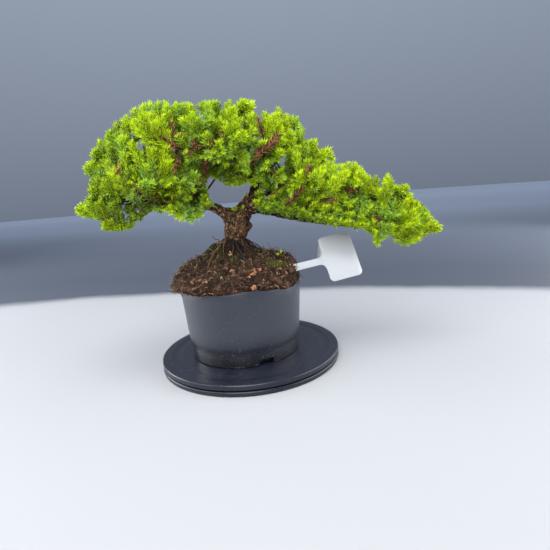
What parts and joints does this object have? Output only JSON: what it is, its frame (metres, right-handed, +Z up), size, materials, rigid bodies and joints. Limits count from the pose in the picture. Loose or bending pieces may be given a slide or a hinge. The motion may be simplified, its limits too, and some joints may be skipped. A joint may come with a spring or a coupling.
{
  "type": "juniper bonsai in pot on turntable",
  "caption": "Low spreading juniper bonsai with a domed crown and one long hanging branch, in a cut-down round pot with a plant label, on a flat turntable.",
  "frame": {"origin": "middle of the turntable's flat underside, on its turning axis", "axes": "+Z up along the turning axis, +X towards the long hanging branch, -Y to the front"},
  "size_m": [0.4682, 0.228, 0.3238],
  "materials": {
    "turntable_plastic": "blue-grey moulded plastic, satin",
    "pot_plastic": "dark grey blown polyethylene with a soft sheen",
    "potting_soil": "dark fibrous peat and bark mix bound by tan roots, with moss",
    "bark": "grey-brown flaking juniper bark",
    "label_plastic": "white polystyrene sheet, bare",
    "juniper_needles": "fresh green awl-shaped needles with a pale bluish inner face, yellow-green at the tips"
  },
  "bodies": {
    "turntable_foot": {"turntable_base": "turntable_plastic"},
    "turning_plant": {"plant_label": "label_plastic", "pot": "pot_plastic", "root_ball": "potting_soil", "spray_01": "juniper_needles", "spray_02": "juniper_needles", "spray_03": "juniper_needles", "spray_04": "juniper_needles", "spray_05": "juniper_needles", "spray_06": "juniper_needles", "spray_07": "juniper_needles", "spray_08": "juniper_needles", "spray_09": "juniper_needles", "spray_10": "juniper_needles", "spray_11": "juniper_needles", "spray_12": "juniper_needles", "spray_13": "juniper_needles", "spray_14": "juniper_needles", "spray_15": "juniper_needles", "spray_16": "juniper_needles", "spray_17": "juniper_needles", "spray_18": "juniper_needles", "spray_19": "juniper_needles", "spray_20": "juniper_needles", "spray_21": "juniper_needles", "spray_22": "juniper_needles", "spray_23": "juniper_needles", "spray_24": "juniper_needles", "spray_25": "juniper_needles", "spray_26": "juniper_needles", "spray_27": "juniper_needles", "spray_28": "juniper_needles", "spray_29": "juniper_needles", "spray_30": "juniper_needles", "spray_31": "juniper_needles", "spray_32": "juniper_needles", "spray_33": "juniper_needles", "spray_34": "juniper_needles", "spray_35": "juniper_needles", "spray_36": "juniper_needles", "spray_37": "juniper_needles", "spray_38": "juniper_needles", "trunk_and_limbs": "bark", "turntable_top": "turntable_plastic"}
  },
  "joints": [
    {"name": "turntable_spin", "type": "hinge", "parent": "turntable_foot", "child": "turning_plant", "pos_m": [0, 0, 0.0095], "axis": [0, 0, 1], "continuous": true}
  ]
}
